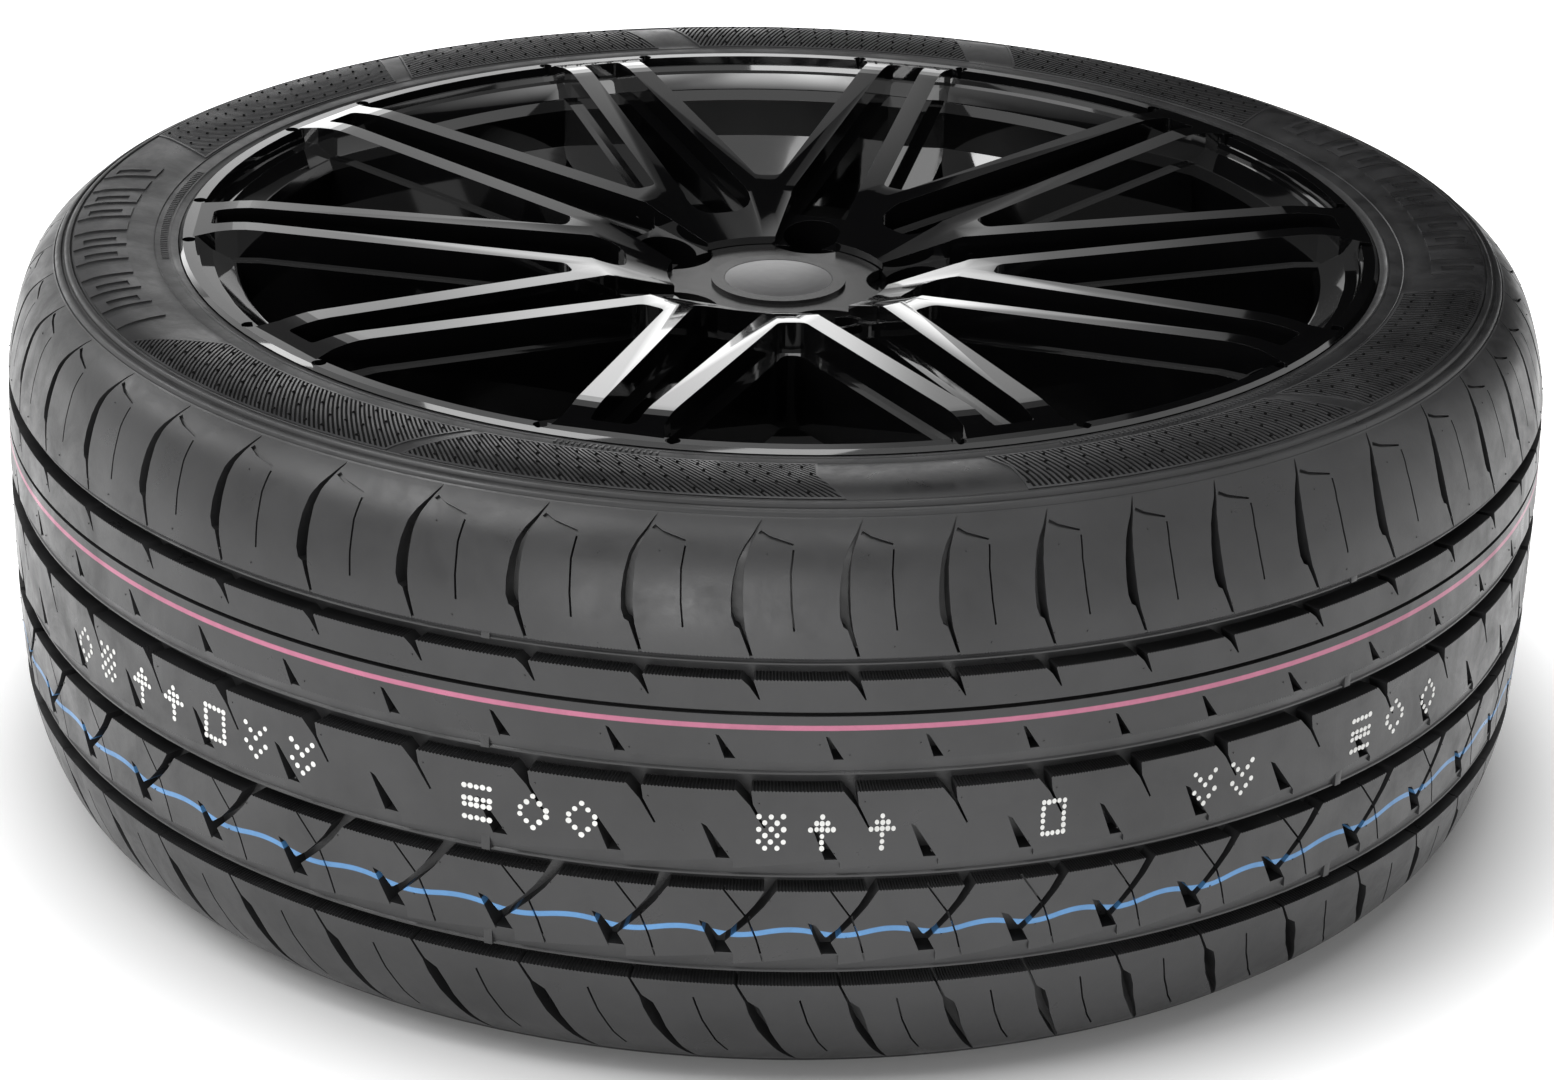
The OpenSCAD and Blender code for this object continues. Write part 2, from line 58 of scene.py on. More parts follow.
def editAll(ob):
    pick(ob)
    bpy.ops.object.mode_set(mode='EDIT')
    bpy.ops.mesh.select_all(action='SELECT')


def backToObject():
    bpy.ops.object.mode_set(mode='OBJECT')


def drawLine(name, points, filled=False):
    # a chain of vertices, extruded one after the other, and filled if it is an outline
    deselectAll()
    bpy.ops.mesh.primitive_plane_add(size=1, location=(0, 0, 0))
    ob = bpy.context.object
    ob.name = ob.data.name = name
    bpy.ops.object.mode_set(mode='EDIT')
    bpy.ops.mesh.select_mode(type='VERT')
    bpy.ops.mesh.select_all(action='SELECT')
    bpy.ops.mesh.merge(type='CENTER')
    last = Vector(points[0])
    bpy.ops.transform.translate(value=last)
    for point in points[1:]:
        point = Vector(point)
        bpy.ops.mesh.extrude_vertices_move(TRANSFORM_OT_translate={"value": point - last})
        last = point
    bpy.ops.mesh.select_all(action='SELECT')
    if filled:
        bpy.ops.mesh.edge_face_add()
    return ob


def slab(name, outline, top, bottom):
    # a flat outline given a thickness, in millimetres on the drawing board
    ob = drawLine(name, [(x, y, top) for x, y in outline], filled=True)
    bpy.ops.mesh.extrude_region_move(TRANSFORM_OT_translate={"value": (0, 0, bottom - top)})
    bpy.ops.mesh.select_all(action='SELECT')
    bpy.ops.mesh.normals_make_consistent(inside=False)
    backToObject()
    return ob


def cutAway(ob, *cutters):
    for cutter in cutters:
        pick(ob)
        step = ob.modifiers.new("cut", 'BOOLEAN')
        step.operation = 'DIFFERENCE'
        step.solver = 'EXACT'
        step.object = cutter
        bpy.ops.object.modifier_apply(modifier=step.name)
        bpy.data.meshes.remove(cutter.data)


def sliceBy(ob, axis, places):
    # extra edges across a flat piece, so that it can bend round the tyre
    editAll(ob)
    normal = [0, 0, 0]
    normal[axis] = 1
    for place in places:
        bpy.ops.mesh.select_all(action='SELECT')
        point = [0, 0, 0]
        point[axis] = place
        bpy.ops.mesh.bisect(plane_co=point, plane_no=normal)
    backToObject()


def facesWhere(ob, test):
    # selects the faces that pass a test on centre and normal, and goes to edit mode
    pick(ob)
    bpy.ops.object.mode_set(mode='EDIT')
    bpy.ops.mesh.select_all(action='DESELECT')
    bpy.ops.mesh.select_mode(type='FACE')
    backToObject()
    for face in ob.data.polygons:
        face.select = bool(test(face.center, face.normal))
    bpy.ops.object.mode_set(mode='EDIT')


def joined(name, parts):
    pick(*parts)
    if len(parts) > 1:
        bpy.ops.object.join()
    ob = bpy.context.object
    ob.name = ob.data.name = name
    return ob


def tidyMesh(ob, gap, angle):
    editAll(ob)
    bpy.ops.mesh.remove_doubles(threshold=gap)
    bpy.ops.mesh.normals_make_consistent(inside=False)
    backToObject()
    bpy.ops.object.shade_smooth_by_angle(angle=math.radians(angle))


def coordsOf(ob):
    co = np.empty(len(ob.data.vertices) * 3)
    ob.data.vertices.foreach_get("co", co)
    return co.reshape(-1, 3)


def setCoords(ob, co):
    ob.data.vertices.foreach_set("co", np.asarray(co, float).ravel())
    ob.data.update()


def flatMap(ob, acrossX, acrossY):
    # UV map of a flat piece, taken from where it lies on the drawing board
    layer = ob.data.uv_layers.new(name="pattern")
    co = coordsOf(ob)
    loops = np.empty(len(ob.data.loops), int)
    ob.data.loops.foreach_get("vertex_index", loops)
    uv = co[loops][:, :2] / (acrossX, acrossY)
    layer.data.foreach_set("uv", uv.ravel())


# tyre: sizes in millimetres, heights from the middle of the tread
tyre = {
    "crownRadius": 318.08, "crownDrop": 5, "halfTread": 98, "middle": 113.5,
    "floorSteps": 208, "toothPitch": 1.35, "toothBite": 0.5, "blockDepth": 8.3,
    "grooveTops": [64.3, 25.6, -15.1, -54.3], "bevelWidths": [3.2, 6.1, 6.1, 6.1],
    "sipeWidth": 0.8, "sipeDepth": 4, "ribSipeDepth": 3.5, "nickDepth": 1.2, "cutAbove": 2,
    "smoothAngle": 34,
    "pitchLength": 43.2, "firstPitchAt": 220.7, "mediumPitch": 1.1, "longPitch": 1.22,
    "pitchOrder": [3, 3, 3, 3, 3, 2, 2, 1, 1, 1, 1, 2, 3, 3, 2, 2, 1, 1, 2, 1, 1, 2, 3, 3, 2, 3,
                   2, 1, 1, 1, 2, 2, 3, 2, 1, 1, 2, 1, 1, 1, 2, 3, 3, 2, 2, 1, 1, 1, 2, 3, 3, 3],
    "bellyRadius": 279.1, "upperArc": 32.5, "lowerArc": 142.6,
    # the raised marks stand in this height, which begins outside the flange
    "detailRoom": 0.9, "roomFrom": 249, "roomFull": 257,
    # the rounded shoulder: distance along the surface, radius, height
    "shoulder": [(64.1, 316.5, 64.1), (68.3, 315.95, 68.2), (72.5, 315.2, 72.2), (76.8, 314.35, 76.3),
                 (81.1, 313.3, 80.3), (85.4, 312.1, 84.2), (89.7, 310.8, 88.1), (94, 309.3, 92),
                 (97.6, 307.9, 95.1), (100.9, 306.2, 98), (104.4, 304.2, 100.7), (108.2, 302, 103.2),
                 (111.9, 299.4, 105.5), (115.7, 296.7, 107.4), (119.5, 293.8, 109.1), (123.3, 290.7, 110.5)],
}

# where each pitch starts, and how long it is
pitchSizes = np.array([{1: 1, 2: tyre["mediumPitch"], 3: tyre["longPitch"]}[k] for k in tyre["pitchOrder"]])
pitchAngles = pitchSizes / pitchSizes.sum() * 2 * math.pi
pitchStarts = math.radians(tyre["firstPitchAt"]) + np.concatenate([[0], np.cumsum(pitchAngles)])[:-1]


def roomAt(radius):
    share = (radius - tyre["roomFrom"]) / (tyre["roomFull"] - tyre["roomFrom"])
    return tyre["detailRoom"] * np.clip(share, 0, 1)


def sidewallHeight(radius):
    out = radius - tyre["bellyRadius"]
    arc = np.where(out > 0, tyre["upperArc"], tyre["lowerArc"])
    return tyre["middle"] - roomAt(radius) - arc + np.sqrt(arc ** 2 - out ** 2)


def shoulderLine():
    # distance along the tread's surface from its middle, against radius and height
    rows = [(t, tyre["crownRadius"] - tyre["crownDrop"] * (t / tyre["halfTread"]) ** 2.5, t)
            for t in range(0, 61, 4)]
    rows = np.array(rows + tyre["shoulder"])
    along, spots = rows[:, 0], rows[:, 1:]
    lean = np.gradient(spots, along, axis=0)
    lean /= np.linalg.norm(lean, axis=1)[:, None]
    return along, spots, np.stack([lean[:, 1], -lean[:, 0]], axis=1)


alongLine, lineSpots, lineNormals = shoulderLine()


def onTread(co, pitch):
    # bends a drawing (along, across, outwards) round the tyre, on the pitch it belongs to
    count = len(pitchStarts)
    length = tyre["pitchLength"]
    x, y, out = co[:, 0], co[:, 1], co[:, 2]
    before, here, after = pitchAngles[pitch - 1], pitchAngles[pitch], pitchAngles[(pitch + 1) % count]
    angle = pitchStarts[pitch] + np.where(x < 0, x * before, np.where(
        x < length, x * here, length * here + (x - length) * after)) / length
    side = np.sign(y)
    t = np.abs(y)
    radius = np.interp(t, alongLine, lineSpots[:, 0]) + out * np.interp(t, alongLine, lineNormals[:, 0])
    height = np.interp(t, alongLine, lineSpots[:, 1]) + out * np.interp(t, alongLine, lineNormals[:, 1])
    height = tyre["middle"] + side * height
    return np.stack([radius * np.cos(angle), radius * np.sin(angle), height], axis=1) * mm


def onSidewall(co, start, lower=False):
    # bends a drawing (along at the panels' radius, radius, outwards) onto a sidewall
    angle = start + co[:, 0] / sidewall["panelRadius"]
    slope = (sidewallHeight(co[:, 1] + 0.5) - sidewallHeight(co[:, 1] - 0.5))
    lift = co[:, 2] / np.hypot(1, slope)
    radius = co[:, 1] - slope * lift
    height = sidewallHeight(co[:, 1]) + lift
    if lower:
        height, angle = -height, -angle
    return np.stack([radius * np.cos(angle), radius * np.sin(angle), tyre["middle"] + height], axis=1) * mm


def toothed(start, end, bite):
    # an edge with the fine teeth that the mould leaves
    count = max(1, round(abs(end[0] - start[0]) / tyre["toothPitch"]))
    spots = []
    for k in range(count):
        for share, push in ((0, 0), (0.5, bite)):
            u = (k + share) / count
            spots.append((start[0] + (end[0] - start[0]) * u, start[1] + (end[1] - start[1]) * u + push))
    return spots


def ribbon(path, width):
    # outline of a thin cut along a path
    left, right = [], []
    path = [Vector(p) for p in path]
    for k, spot in enumerate(path):
        way = (path[min(k + 1, len(path) - 1)] - path[max(k - 1, 0)]).normalized()
        side = Vector((-way.y, way.x)) * width / 2
        left.append(tuple(spot + side))
        right.append(tuple(spot - side))
    return left + right[::-1]


def cutSipes(block, depth, *paths):
    cutAway(block, *[slab("sipe", ribbon(path, tyre["sipeWidth"]), tyre["cutAbove"], -depth)
                     for path in paths])


def layRound(name, tile, continuous):
    # one copy of the drawing for every pitch, each with its own mesh
    if continuous:
        low, high = coordsOf(tile)[:, 0].min(), coordsOf(tile)[:, 0].max()
        facesWhere(tile, lambda c, n: abs(n.x) > 0.999 and (c.x < low + 0.01 or c.x > high - 0.01))
        bpy.ops.mesh.delete(type='FACE')
        backToObject()
    flatMap(tile, tyre["pitchLength"], 100)
    flat = coordsOf(tile)
    copies = []
    for pitch in range(len(pitchStarts)):
        copy = bpy.data.objects.new(name, tile.data.copy())
        bpy.context.collection.objects.link(copy)
        setCoords(copy, onTread(flat, pitch))
        copies.append(copy)
    bpy.data.meshes.remove(tile.data)
    rib = joined(name, copies)
    tidyMesh(rib, 0.00002, tyre["smoothAngle"])
    print(name, len(rib.data.polygons), "faces")
    return rib


def buildShoulder(name, side):
    # blocks between the lateral grooves; side 1 is the styled one
    length = tyre["pitchLength"]
    if side > 0:
        right = [(18.9, 64.3), (15.6, 74), (14.6, 80), (14.2, 88), (14.4, 96), (15.6, 102), (18, 108),
                 (21.5, 116)]
        left = [(17.7, 64.3), (13.2, 74.6), (11.3, 75.6), (9.9, 79), (9.5, 85), (10, 92), (11.5, 99),
                (14, 104), (17.2, 109), (20.9, 116)]
        sipe = [(33.7, 103), (32.7, 94.8), (33.3, 83), (34.5, 74)]
    else:
        right = [(15.6, -65.3), (19.9, -72.8), (24.5, -76), (27.2, -82), (29.5, -89), (34.5, -99),
                 (38.5, -106), (43, -116)]
        left = [(14.5, -65.3), (18.8, -73.4), (20.3, -79), (24, -88), (30.5, -98), (36.2, -106),
                (42.3, -116)]
        sipe = [(40.9, -71.9), (44.5, -83.4), (50, -95), (55, -102)]
    edge = toothed(right[0], (left[0][0] + length, left[0][1]), -side * tyre["toothBite"])
    outline = right[::-1] + edge[1:] + [(x + length, y) for x, y in left]
    block = slab("block", outline, 0, -tyre["blockDepth"])
    cutSipes(block, tyre["sipeDepth"], sipe)
    if side > 0:
        nick = [(20.5, 110.6), (24, 108.4), (33.8, 105.2), (33.4, 104.5), (24, 106.8), (19.4, 109.2)]
        cutAway(block, slab("nick", nick, tyre["cutAbove"], -tyre["nickDepth"]))
    sliceBy(block, 0, np.arange(5, 90, 7.2))
    sliceBy(block, 1, [side * y for y in (70, 75, 80, 84, 88, 92, 95, 98, 101, 104, 107, 110, 113)])
    return layRound(name, block, False)


def buildUpperRib():
    # two strips with the narrow ring groove between them
    length, bite, depth = tyre["pitchLength"], tyre["toothBite"], tyre["blockDepth"]
    top = toothed((0, 55.7), (15, 55.7), bite)
    top += [(15, 55.7), (17.6, 53.6), (21.5, 48.6), (22.1, 48.7), (19.8, 54.4), (19.3, 55.7)]
    top += toothed((19.3, 55.7), (length, 55.7), bite)[1:] + [(length, 55.7), (length, 44.2), (0, 44.2)]
    foot = toothed((0, 25.6), (8.9, 25.6), -bite)
    foot += [(8.9, 25.6), (5, 35.1), (6.4, 34.7), (12.6, 26.8), (13.4, 25.6)]
    foot += toothed((13.4, 25.6), (length, 25.6), -bite)[1:] + [(length, 25.6), (length, 42.6), (0, 42.6)]
    tile = joined("tile", [slab("upper", top, 0, -depth), slab("lower", foot, 0, -depth)])
    sliceBy(tile, 0, np.arange(7.2, 43, 7.2))
    return layRound("upperRib", tile, True)


def buildMiddleRib():
    length, bite = tyre["pitchLength"], tyre["toothBite"]
    first, last = -3, -3 + length
    low = lambda x: -16.6 + (x - 12.8) * 2.8 / 30.4    # the lower edge climbs from notch to notch
    outline = toothed((first, 13.5), (13.8, 13.5), bite) + [
        (13.8, 13.5), (19, 8), (24.6, -0.8), (25.4, -0.5), (20.2, 8.6), (19.4, 13.5)]
    outline += toothed((19.4, 13.5), (last, 13.5), bite)[1:] + [(last, 13.5)]
    outline += toothed((last, low(last)), (12.8, low(12.8)), -bite)
    outline += [(12.8, low(12.8)), (12.8, -14.4), (2.2, -0.6), (0, 0.5), (6.2, low(6.2 + length))]
    outline += toothed((6.2, low(6.2 + length)), (first, low(last)), -bite)[1:] + [(first, low(last))]
    tile = slab("tile", outline, 0, -tyre["blockDepth"])
    sliceBy(tile, 0, np.arange(first + 7.2, last - 1, 7.2))
    return layRound("middleRib", tile, True)


def buildLowerRib():
    length, bite = tyre["pitchLength"], tyre["toothBite"]
    left = [(30, -26.1), (25.5, -32.2), (20, -38), (14.5, -43), (10.2, -46.8), (13.6, -52.2), (13.8, -55.8)]
    right = [(6.5, -52.4), (-0.2, -38.7), (3.4, -39.8), (7.8, -44.8), (12.8, -41.2), (17, -37), (21.8, -31.5),
             (25.4, -26.1)]
    outline = (left + toothed(left[-1], (right[0][0] + length, right[0][1]), -bite)[1:]
               + [(x + length, y) for x, y in right]
               + toothed((right[-1][0] + length, -26.1), left[0], bite)[1:])
    block = slab("block", outline, 0, -tyre["blockDepth"])
    cutSipes(block, tyre["ribSipeDepth"], [(18, -34.8), (19.6, -38.5), (22.8, -46), (26.2, -57)],
             [(52, -25), (57.4, -31.5), (63.2, -38.4)])
    sliceBy(block, 0, np.arange(12, 70, 7.2))
    return layRound("lowerRib", block, False)


sidewall = {
    "panelRadius": 274, "panelInner": 257, "panelOuter": 288.6, "rings": [294.3, 290.6], "ringHeight": 0.8,
}


def buildTyreShell():
    # floors of the grooves, sidewalls, beads and the inside, drawn as one section and spun
    def section(side):
        spots = []
        if side > 0:
            tread = [(0, 8), (19.1, 8), (19.2, 2.5), (19.4, 1.9), (20.1, 1.85), (20.6, 2.3), (25.3, 0.5),
                     (26, 0.4), (26.3, 8), (42.3, 8), (42.5, 3), (44.3, 3), (44.5, 8), (60.7, 8), (60.8, 2.5),
                     (61, 1.9), (61.6, 1.8), (62.1, 2.2), (64, 0.5), (64.7, 0.4), (65, 8)]
        else:
            tread = [(13.2, 8), (13.3, 0.5), (14, 0.5), (20, 2.5), (20.5, 2), (21.2, 2), (21.4, 2.6),
                     (21.5, 8), (51.7, 8), (51.8, 0.5), (52.5, 0.5), (59.2, 2.5), (59.7, 2), (60.4, 2),
                     (60.6, 2.6), (60.7, 8)]
        tread += [(70, 8), (78, 8), (86, 8), (91, 7.4), (96, 6.4), (100, 5.3), (104, 4), (108, 2.6),
                  (112, 1.2), (114.5, 0.4), (115.8, 0), (116.6, -0.1)]
        for t, depth in tread:
            radius, height = [np.interp(t, alongLine, lineSpots[:, k])
                              - depth * np.interp(t, alongLine, lineNormals[:, k]) for k in (0, 1)]
            spots.append((radius, side * height))
        lift = sidewall["ringHeight"]
        for ring in sidewall["rings"]:
            for out, up in ((1.5, -0.6), (1.0, 0.75), (0.5, 1), (-0.5, 1), (-1.0, 0.75), (-1.5, -0.6)):
                spots.append((ring + out, side * (float(sidewallHeight(np.array(ring + out))) + lift * up)))
        for radius in (288.6, 287, 284, 280, 276, 272, 268, 264, 260, 257, 256.2, 255.8, 253, 250.6, 250.2,
                       249.6, 249.2, 248):
            # two fine rings near the flange; the plain side needs no room for marks
            dip = {256.2: 0.1, 255.8: -0.25, 250.2: 0.3, 249.6: 0.3}.get(radius, 0)
            over = 0 if side > 0 else float(roomAt(radius))
            spots.append((radius, side * (float(sidewallHeight(np.array(radius))) + over + dip)))
        spots.append((246.6, side * 109.7))
        for a in (10, 30, 50, 70, 90):
            a = math.radians(a)
            spots.append((238.1 + 8.12 * math.cos(a), side * (109.6 - 8.12 * math.sin(a))))
        for a in (120, 150, 180):
            a = math.radians(a)
            spots.append((233.6 + 4.88 * math.cos(a), side * (96.6 + 4.88 * math.sin(a))))
        spots += [(227.45, side * 81.6), (229.6, side * 80.1), (237.6, side * 87.6), (252, side * 96.5),
                  (267, side * 103.5), (279, side * 105.5), (292.6, side * 101.9), (293.5, side * 94),
                  (300, side * 76), (301.5, side * 49)]
        return spots
    upper, lower = section(1), section(-1)
    profile = upper[::-1] + lower
    shell = drawLine("tyreShell", [(r * mm, 0, (z + tyre["middle"]) * mm) for r, z in profile + [profile[0]]])
    bpy.ops.mesh.spin(steps=tyre["floorSteps"], angle=2 * math.pi, center=(0, 0, 0), axis=(0, 0, 1))
    backToObject()
    tidyMesh(shell, 0.00001, 30)
    print("tyreShell", len(shell.data.polygons), "faces")
    return shell


panels = {
    # directions from the photograph's viewer, anticlockwise, at the inner and outer edge of each end
    "corners": [(-53, -57.5, -24.8, -28.2), (-23.6, -27, 3.4, 5), (16.8, 17.8, 44.5, 47.5),
                (46, 49.2, 75, 77.5), (126, 128.5, 155, 158.5), (160, 163.5, 189, 191.5),
                (193.5, 196, 222, 219), (224, 221, 255, 251)],
    "middles": {1: (None, -4.2), 2: (2.0, None)},    # how far an end's notch goes along, in millimetres
    "lean": [0.9, 0.9, 0.15, 0.15, -0.4, -0.4, 0.4, 0.9],
    "edge": 0.9, "edgeHeight": 0.42, "linePitch": 2.2, "lineWidth": 1.0, "lineHeight": 0.36,
    "floorHeight": 0.03, "dotPitch": 7.6, "dotSize": 0.75,
}


def copyOf(ob, shift):
    copy = bpy.data.objects.new(ob.name, ob.data.copy())
    bpy.context.collection.objects.link(copy)
    setCoords(copy, coordsOf(copy) + np.array(shift))
    return copy


def panelOutline(index):
    corners = panels["corners"][index]
    start = math.radians(270 + corners[0])
    reach = [math.radians(c - corners[0]) * sidewall["panelRadius"] for c in corners]
    inner, outer = sidewall["panelInner"], sidewall["panelOuter"]
    outline = [(reach[0], inner), (reach[2], inner)]
    left, right = panels["middles"].get(index, (None, None))
    if right:
        outline.append(((reach[2] + reach[3]) / 2 + right, 271))
    outline += [(reach[3], outer), (reach[1], outer)]
    if left:
        outline.append(((reach[0] + reach[1]) / 2 + left, 271))
    return outline, start, min(reach[0], reach[1]), max(reach[2], reach[3])


def buildPanels():
    edges, lines, dots, floors = [], [], [], []
    for index in range(len(panels["corners"])):
        outline, start, low, high = panelOutline(index)
        ground = slab("panelFloors", outline, panels["floorHeight"], -0.3)
        sliceBy(ground, 0, np.arange(low + 4, high, 4))
        sliceBy(ground, 1, np.arange(259, 288, 3))
        setCoords(ground, onSidewall(coordsOf(ground), start))
        floors.append(ground)
        # raised line round the panel
        edge = drawLine("panelEdges", [(x, y, -0.3) for x, y in outline], filled=True)
        bpy.ops.mesh.select_mode(type='FACE')
        bpy.ops.mesh.select_all(action='SELECT')
        bpy.ops.mesh.inset(thickness=panels["edge"], depth=0)
        bpy.ops.mesh.delete(type='FACE')
        bpy.ops.mesh.select_all(action='SELECT')
        bpy.ops.mesh.extrude_region_move(TRANSFORM_OT_translate={"value": (0, 0, 0.3 + panels["edgeHeight"])})
        backToObject()
        sliceBy(edge, 0, np.arange(low + 4, high, 6))
        sliceBy(edge, 1, np.arange(262, 290, 6))
        setCoords(edge, onSidewall(coordsOf(edge), start))
        edges.append(edge)
        # fine slanted lines, cut to the panel's shape
        lean = panels["lean"][index]
        inner, outer = sidewall["panelInner"] - 1, sidewall["panelOuter"] + 1
        reach, half = (outer - inner) * lean, panels["lineWidth"] / 2
        line = slab("line", [(-half, inner), (half, inner), (half + reach, outer), (reach - half, outer)],
                    panels["lineHeight"], -0.3)
        sliceBy(line, 1, np.arange(inner + 5, outer - 1, 5))
        many = [copyOf(line, (x, 0, 0)) for x in
                np.arange(low - max(reach, 0), high - min(reach, 0), panels["linePitch"])]
        bpy.data.meshes.remove(line.data)
        field = joined("panelLines", many)
        frameShape = slab("frameShape", outline, 2, -2)
        pick(field)
        step = field.modifiers.new("trim", 'BOOLEAN')
        step.operation, step.solver = 'INTERSECT', 'EXACT'
        step.object = frameShape
        bpy.ops.object.modifier_apply(modifier=step.name)
        bpy.data.meshes.remove(frameShape.data)
        setCoords(field, onSidewall(coordsOf(field), start))
        lines.append(field)
        # small pips in staggered rows
        gap = panels["dotPitch"]
        for row in range(4):
            y = 262 + row * gap
            shift = (gap / 2 if row % 2 else 0) + lean * (y - 257)
            for x in np.arange(low - 40, high + 40, gap):
                spot = x + shift
                share = (y - 257) / 32
                if outline[0][0] + (outline[-1][0] - outline[0][0]) * share + 2 < spot < (
                        outline[1][0] + (outline[2][0] - outline[1][0]) * share - 2):
                    bpy.ops.object.select_all(action='DESELECT')
                    bpy.ops.mesh.primitive_ico_sphere_add(subdivisions=1, radius=panels["dotSize"],
                                                          location=(spot, y, panels["lineHeight"] - 0.1))
                    pip = bpy.context.object
                    bpy.ops.object.transform_apply(location=True, rotation=False, scale=False)
                    setCoords(pip, onSidewall(coordsOf(pip), start))
                    dots.append(pip)
    pieces = [joined("panelEdges", edges), joined("panelLines", lines), joined("panelDots", dots),
              joined("panelFloors", floors)]
    for piece, angle in zip(pieces, (30, 25, 60, 30)):
        tidyMesh(piece, 0.000001, angle)
        print(piece.name, len(piece.data.polygons), "faces")
    return pieces


bars = {
    # plain slanted bars where a sidewall has its raised marks
    "zones": [(-100, -59), (80, 123)], "inner": 267, "outer": 288, "width": 11, "step": 17.5, "lean": 5,
    "height": 0.55, "tickZones": [(-101, -76), (-18, -9), (24, 52)], "tickInner": 250.8, "tickOuter": 253.6,
    "tickWidth": 0.9, "tickStep": 2.4,
}


def buildBars():
    raised, ticks = [], []
    for low, high in bars["zones"]:
        start = math.radians(270 + low)
        length = math.radians(high - low) * sidewall["panelRadius"]
        for k, x in enumerate(np.arange(0, length - bars["width"], bars["step"])):
            far = x + bars["width"]
            outline = [(x, bars["inner"]), (far, bars["inner"]), (far + bars["lean"], bars["outer"]),
                       (x + bars["lean"], bars["outer"])]
            bar = slab("bar", outline, bars["height"], -0.3)
            if k % 3 != 1:
                foot, head = bars["inner"] + 4, bars["outer"] - 4
                window = [(x + 4, foot), (far - 1.6, foot), (far + 1.6, head), (x + bars["lean"] + 2.2, head)]
                cutAway(bar, slab("window", window, 2, -2))
            sliceBy(bar, 1, np.arange(bars["inner"] + 4, bars["outer"], 4))
            sliceBy(bar, 0, [x + 6, x + 10])
            setCoords(bar, onSidewall(coordsOf(bar), start))
            raised.append(bar)
    for low, high in bars["tickZones"]:
        start = math.radians(270 + low)
        length = math.radians(high - low) * sidewall["panelRadius"]
        tick = slab("tick", [(0, bars["tickInner"]), (bars["tickWidth"], bars["tickInner"]),
                             (bars["tickWidth"], bars["tickOuter"]), (0, bars["tickOuter"])], 0.3, -0.3)
        for x in np.arange(0, length, bars["tickStep"]):
            copy = copyOf(tick, (x, 0, 0))
            setCoords(copy, onSidewall(coordsOf(copy), start))
            ticks.append(copy)
        bpy.data.meshes.remove(tick.data)
    piece = joined("sidewallBars", raised + ticks)
    tidyMesh(piece, 0.000001, 30)
    print("sidewallBars", len(piece.data.polygons), "faces")
    return piece


marks = {
    # white printed dots on the middle rib, in plain patterns: directions, rows from the top, columns
    "size": 1.05, "gap": 2.42, "rows": 6, "top": 5.0, "bottom": -9.6, "proud": 0.1,
    "places": [-55, -51.6, -47.2, -43.6, -39.4, -35.6, -31.6, -18.6, -14.8, -11.6, 0.4, 3.6, 7.4, 18.6, 29.6,
               32.6, 43.6, 47.4, 51.6],
    "patterns": [
        ["..#..", ".#.#.", "#...#", "#...#", ".#.#.", "..#.."],
        ["#####", ".....", "#####", "#####", ".....", "#####"],
        ["#...#", ".#.#.", "..#..", "#...#", ".#.#.", "..#.."],
        ["#####", "#...#", "#...#", "#...#", "#...#", "#####"],
        ["..#..", ".###.", "#####", "..#..", "..#..", "..#.."],
        ["#.#.#", ".#.#.", "#.#.#", ".#.#.", "#.#.#", ".#.#."],
    ],
}


def pitchAt(angle):
    # the pitch that holds a direction, and how far along its drawing
    turned = (angle - pitchStarts[0]) % (2 * math.pi)
    ends = np.cumsum(pitchAngles)
    pitch = int(np.searchsorted(ends, turned))
    return pitch, (turned - (ends[pitch] - pitchAngles[pitch])) / pitchAngles[pitch] * tyre["pitchLength"]


def buildPrintedDots():
    dots = []
    random.seed(4)
    for n, place in enumerate(marks["places"]):
        pitch, along = pitchAt(math.radians(270 + place))
        pattern = marks["patterns"][(n * 5 + n // 3) % len(marks["patterns"])]
        step = (marks["top"] - marks["bottom"] - marks["size"] * 2) / (marks["rows"] - 1)
        for row, line in enumerate(pattern):
            for column, cell in enumerate(line):
                if cell == ".":
                    continue
                deselectAll()
                radius = marks["size"] * random.uniform(0.92, 1.08)
                bpy.ops.mesh.primitive_cylinder_add(vertices=10, radius=radius, depth=0.3, location=(0, 0, 0))
                dot = bpy.context.object
                co = coordsOf(dot)
                co[:, 2] = np.where(co[:, 2] > 0, marks["proud"], -0.2)
                co[:, 0] += along + (column - 2) * marks["gap"] + random.uniform(-0.12, 0.12)
                co[:, 1] += marks["top"] - marks["size"] - row * step + random.uniform(-0.12, 0.12)
                setCoords(dot, onTread(co, pitch))
                dots.append(dot)
    piece = joined("printedDots", dots)
    tidyMesh(piece, 0.000001, 30)
    print("printedDots", len(piece.data.polygons), "faces")
    return piece


nubs = {
    # vent nubs beside the notches, as (along, across) on each pitch
    "spots": [(18.4, 50.2), (2.6, 31.6), (15, 28.2), (22.5, 9.2), (10, -11), (27.5, -30), (16.5, -45),
              (33, 68), (17.4, 68.5), (23, 101)],
    "size": 0.5, "height": 0.3, "padAngles": [251.6, 311.6, 11.6, 71.6, 131.6, 191.6], "padLength": 3.4,
}


